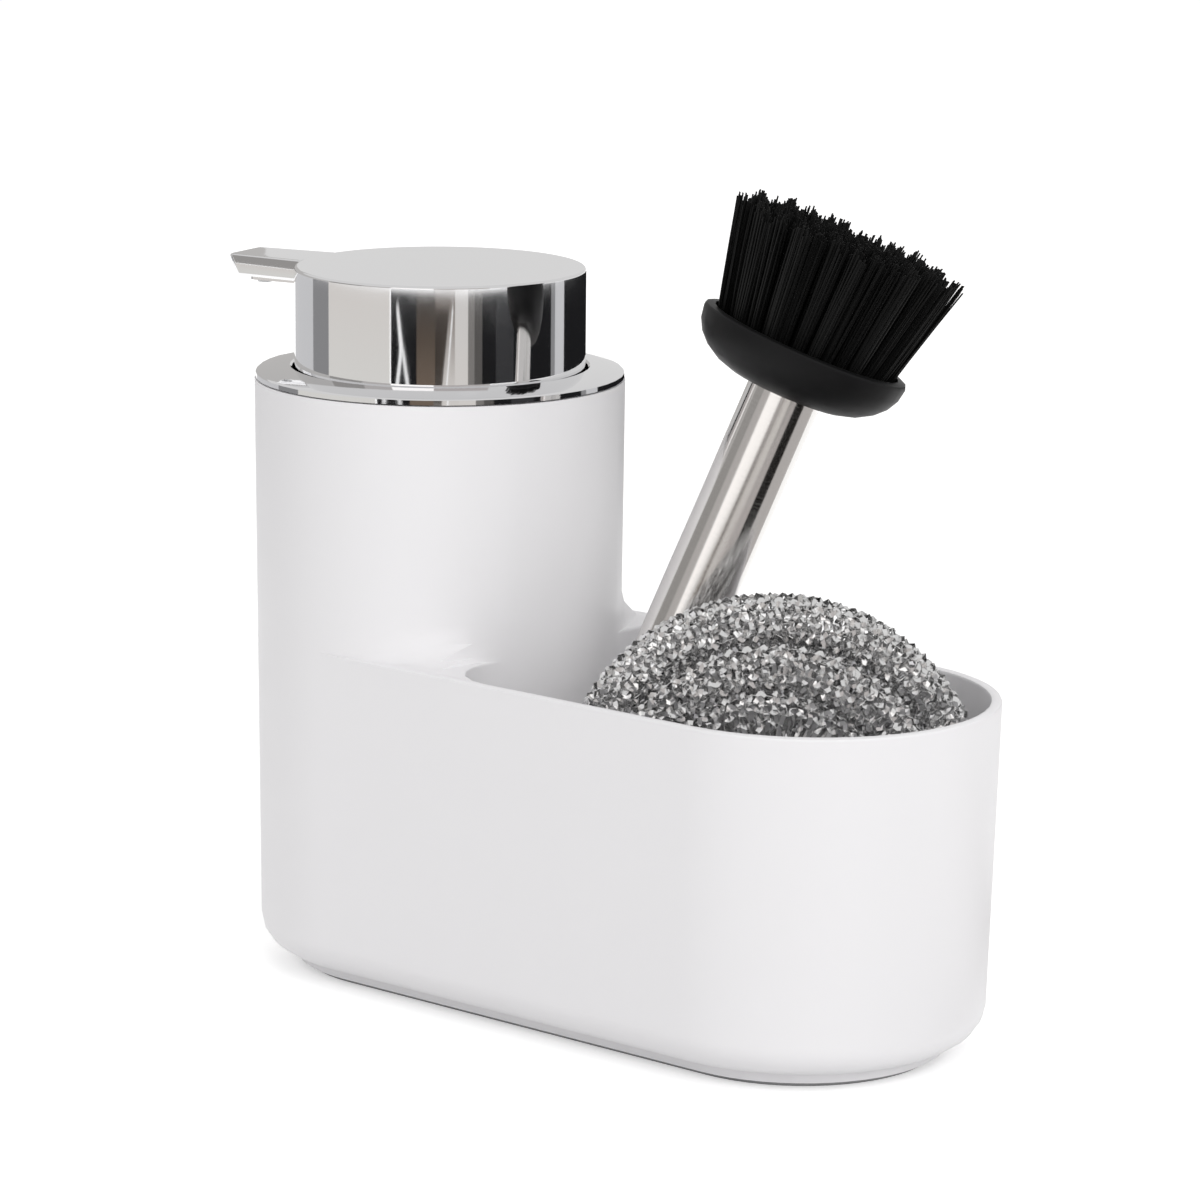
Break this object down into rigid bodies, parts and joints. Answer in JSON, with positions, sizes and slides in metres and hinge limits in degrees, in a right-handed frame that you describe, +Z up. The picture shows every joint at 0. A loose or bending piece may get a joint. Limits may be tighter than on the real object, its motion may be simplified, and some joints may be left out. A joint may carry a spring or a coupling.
{
  "type": "soap dispenser caddy",
  "caption": "Sink-side soap dispenser moulded in one with an open oval tray; chrome press pump with a flat tongue spout, and a dish brush and a scourer standing in the tray.",
  "frame": {"origin": "on the pump's axis, at the underside of the pad that it stands on", "axes": "+Z up along the pump, +X from the bottle to the tray's round end, +Y to the side that the brush leans to"},
  "size_m": [0.1917, 0.0889, 0.1777],
  "materials": {
    "white_plastic": "satin moulded",
    "grey_pad": "matt",
    "chrome": "mirror polished",
    "natural_plastic": "moulded",
    "pump_plastic": "moulded",
    "seal_rubber": "matt",
    "steel": "brushed lengthways",
    "black_plastic": "satin moulded",
    "black_bristle": "drawn filament",
    "steel_ribbon": "bright curled ribbon"
  },
  "bodies": {
    "caddy": {"caddy_body": "white_plastic", "anti_slip_pad": "grey_pad"},
    "lid_unit": {"lid_plate": "chrome", "pump_carrier": "natural_plastic", "lid_seal": "seal_rubber", "neck_gasket": "seal_rubber", "pump_collar": "natural_plastic", "pump_cylinder": "pump_plastic", "cylinder_plug": "natural_plastic", "dip_tube": "pump_plastic", "return_spring": "steel"},
    "inlet_valve": {"inlet_ball": "steel"},
    "plunger": {"piston_stem": "natural_plastic", "piston": "seal_rubber"},
    "outlet_valve": {"outlet_ball": "steel"},
    "head": {"pump_head": "chrome", "head_insert": "natural_plastic", "nozzle_tip": "natural_plastic"},
    "brush": {"brush_handle": "steel", "handle_end_cap": "black_plastic", "brush_socket": "black_plastic", "brush_cup": "black_plastic", "bristles_1": "black_bristle", "bristles_2": "black_bristle", "bristles_3": "black_bristle", "bristles_4": "black_bristle"},
    "scourer_bun": {"scourer": "steel_ribbon"}
  },
  "joints": [
    {"name": "lid_lift", "type": "slide", "parent": "caddy", "child": "lid_unit", "axis": [0, 0, 1], "range_m": [0, 0.13]},
    {"name": "pump_press", "type": "slide", "parent": "lid_unit", "child": "plunger", "axis": [0, 0, -1], "range_m": [0, 0.01], "stiffness_N_per_m": 800, "springref_m": -0.004, "deforming": ["return_spring"]},
    {"name": "head_swivel", "type": "hinge", "parent": "plunger", "child": "head", "pos_m": [0, 0, 0.145], "axis": [0, 0, 1], "continuous": true},
    {"name": "inlet_ball_lift", "type": "slide", "parent": "lid_unit", "child": "inlet_valve", "axis": [0, 0, 1], "range_m": [0, 0.0015]},
    {"name": "outlet_ball_lift", "type": "slide", "parent": "plunger", "child": "outlet_valve", "axis": [0, 0, 1], "range_m": [0, 0.001]},
    {"name": "brush_lift", "type": "slide", "parent": "caddy", "child": "brush", "axis": [0.2846, 0.2559, 0.9239], "range_m": [0, 0.15]},
    {"name": "scourer_lift", "type": "slide", "parent": "caddy", "child": "scourer_bun", "axis": [0, 0, 1], "range_m": [0, 0.09]}
  ],
  "couplings": [
    {"joint": "scourer_lift", "follows": "brush_lift", "ratio": 0.6}
  ]
}
